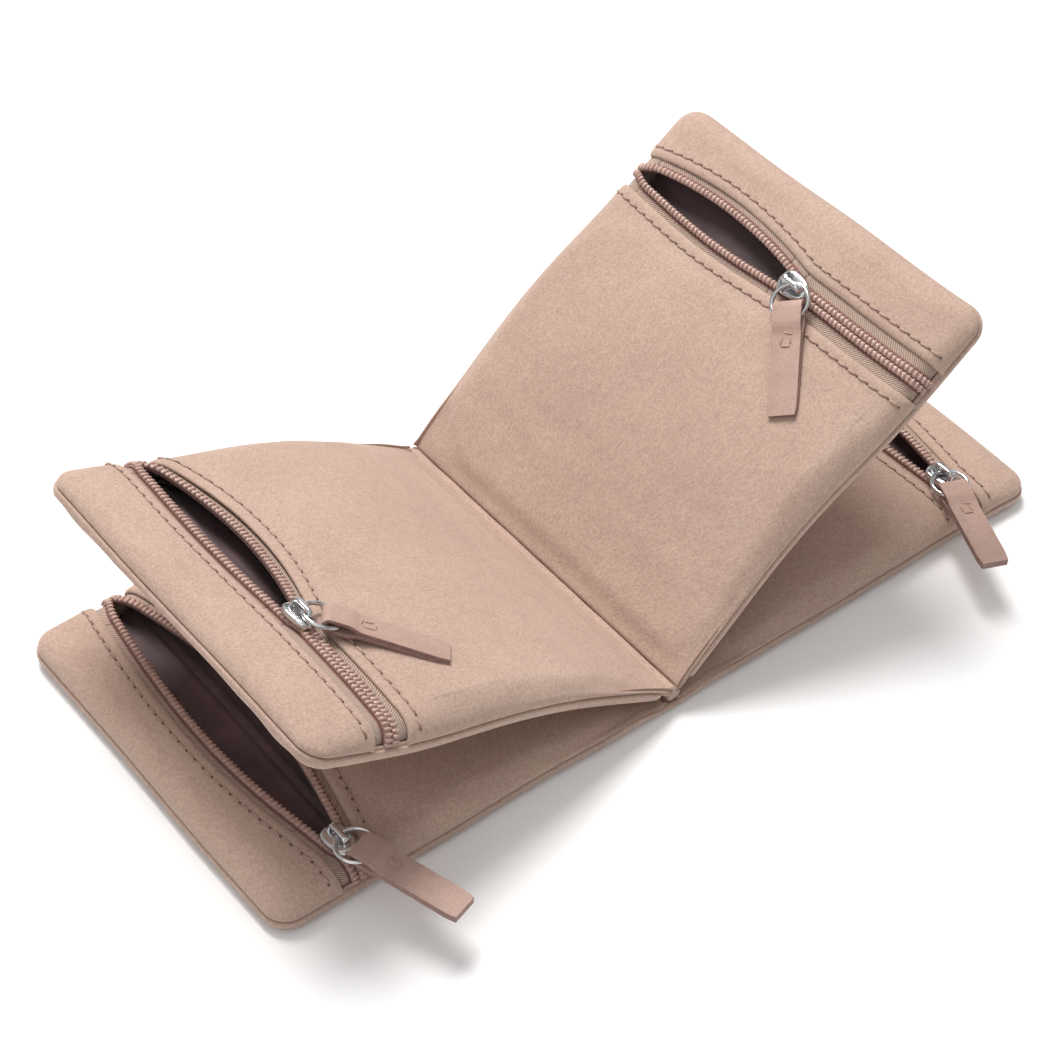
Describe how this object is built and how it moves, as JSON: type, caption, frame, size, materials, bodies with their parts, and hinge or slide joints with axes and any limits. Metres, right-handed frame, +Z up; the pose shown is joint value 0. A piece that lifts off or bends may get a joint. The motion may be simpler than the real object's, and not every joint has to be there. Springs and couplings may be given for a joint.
{
  "type": "leather jewellery case",
  "caption": "Soft leather travel jewellery case: two double-ended zipped pocket strips sewn across the middle, opening as leaves.",
  "frame": {"origin": "under the middle of the centre seam, on the surface the case lies on", "axes": "+Z up, +X along the leaves towards the lower right leaf's free end, +Y along the seam towards the far side"},
  "size_m": [0.216, 0.1192, 0.0714],
  "materials": {
    "leather": "brushed nubuck, matt",
    "tab_leather": "smooth matt, cut edges",
    "lining": "satin",
    "zip_tape": "twill weave",
    "zip_coil": "nylon coil, satin",
    "nickel": "polished nickel",
    "thread": "sewing thread"
  },
  "bodies": {
    "lower_left_leaf": {"centre_seam": "leather", "lower_left_back_panel": "leather", "lower_left_front_panel": "leather", "lower_left_end_flap": "leather", "lower_left_side_welt": "leather", "lower_left_lining": "lining", "lower_left_tape_seam_side": "zip_tape", "lower_left_tape_end_side": "zip_tape", "lower_left_coil_seam_side": "zip_coil", "lower_left_coil_end_side": "zip_coil"},
    "lower_left_slide": {"lower_left_slider": "nickel"},
    "lower_left_pull": {"lower_left_pull_ring": "nickel", "lower_left_pull_tab": "tab_leather", "lower_left_tab_tack": "thread"},
    "lower_right_leaf": {"lower_right_back_panel": "leather", "lower_right_front_panel": "leather", "lower_right_end_flap": "leather", "lower_right_side_welt": "leather", "lower_right_lining": "lining", "lower_right_tape_seam_side": "zip_tape", "lower_right_tape_end_side": "zip_tape", "lower_right_coil_seam_side": "zip_coil", "lower_right_coil_end_side": "zip_coil"},
    "lower_right_slide": {"lower_right_slider": "nickel"},
    "lower_right_pull": {"lower_right_pull_ring": "nickel", "lower_right_pull_tab": "tab_leather", "lower_right_tab_tack": "thread"},
    "upper_left_leaf": {"upper_left_back_panel": "leather", "upper_left_front_panel": "leather", "upper_left_end_flap": "leather", "upper_left_side_welt": "leather", "upper_left_lining": "lining", "upper_left_tape_seam_side": "zip_tape", "upper_left_tape_end_side": "zip_tape", "upper_left_coil_seam_side": "zip_coil", "upper_left_coil_end_side": "zip_coil", "upper_left_seam_edge": "leather"},
    "upper_left_slide": {"upper_left_slider": "nickel"},
    "upper_left_pull": {"upper_left_pull_ring": "nickel", "upper_left_pull_tab": "tab_leather", "upper_left_tab_tack": "thread"},
    "upper_right_leaf": {"upper_right_back_panel": "leather", "upper_right_front_panel": "leather", "upper_right_end_flap": "leather", "upper_right_side_welt": "leather", "upper_right_lining": "lining", "upper_right_tape_seam_side": "zip_tape", "upper_right_tape_end_side": "zip_tape", "upper_right_coil_seam_side": "zip_coil", "upper_right_coil_end_side": "zip_coil", "upper_right_seam_edge": "leather"},
    "upper_right_slide": {"upper_right_slider": "nickel"},
    "upper_right_pull": {"upper_right_pull_ring": "nickel", "upper_right_pull_tab": "tab_leather", "upper_right_tab_tack": "thread"}
  },
  "joints": [
    {"name": "case_fold", "type": "hinge", "parent": "lower_left_leaf", "child": "lower_right_leaf", "pos_m": [0, 0, 0.0056], "axis": [0, -1, 0], "range_deg": [0, 90]},
    {"name": "upper_left_lift", "type": "hinge", "parent": "lower_left_leaf", "child": "upper_left_leaf", "pos_m": [0, 0, 0.0056], "axis": [0, -1, 0], "range_deg": [-40, 11]},
    {"name": "upper_right_lift", "type": "hinge", "parent": "lower_right_leaf", "child": "upper_right_leaf", "pos_m": [0, 0, 0.0056], "axis": [0, 1, 0], "range_deg": [-36, 25]},
    {"name": "lower_left_zip", "type": "slide", "parent": "lower_left_leaf", "child": "lower_left_slide", "axis": [0, 1, 0], "range_m": [0, 0.081], "deforming": ["lower_left_tape_seam_side", "lower_left_tape_end_side", "lower_left_coil_seam_side", "lower_left_coil_end_side"]},
    {"name": "lower_left_pull_lift", "type": "hinge", "parent": "lower_left_slide", "child": "lower_left_pull", "pos_m": [-0.084, -0.0405, 0.0114], "axis": [0.9563, 0.2924, 0], "range_deg": [-68, 0]},
    {"name": "lower_right_zip", "type": "slide", "parent": "lower_right_leaf", "child": "lower_right_slide", "axis": [0, -1, 0], "range_m": [-0.0775, 0.0035], "deforming": ["lower_right_tape_seam_side", "lower_right_tape_end_side", "lower_right_coil_seam_side", "lower_right_coil_end_side"]},
    {"name": "lower_right_pull_lift", "type": "hinge", "parent": "lower_right_slide", "child": "lower_right_pull", "pos_m": [0.092, -0.037, 0.0114], "axis": [0.9205, -0.3907, 0], "range_deg": [-100, 0]},
    {"name": "upper_left_zip", "type": "slide", "parent": "upper_left_leaf", "child": "upper_left_slide", "axis": [0, 1, 0], "range_m": [-0.027, 0.054], "deforming": ["upper_left_tape_seam_side", "upper_left_tape_end_side", "upper_left_coil_seam_side", "upper_left_coil_end_side"]},
    {"name": "upper_left_pull_lift", "type": "hinge", "parent": "upper_left_slide", "child": "upper_left_pull", "pos_m": [-0.07324, -0.0135, 0.04762], "axis": [0.5872, 0.766, -0.2614], "range_deg": [-100, 0]},
    {"name": "upper_right_zip", "type": "slide", "parent": "upper_right_leaf", "child": "upper_right_slide", "axis": [0, -1, 0], "range_m": [-0.0495, 0.0315], "deforming": ["upper_right_tape_seam_side", "upper_right_tape_end_side", "upper_right_coil_seam_side", "upper_right_coil_end_side"]},
    {"name": "upper_right_pull_lift", "type": "hinge", "parent": "upper_right_slide", "child": "upper_right_pull", "pos_m": [0.0609, -0.009, 0.06409], "axis": [0.5065, -0.766, 0.3957], "range_deg": [-100, 0]}
  ]
}
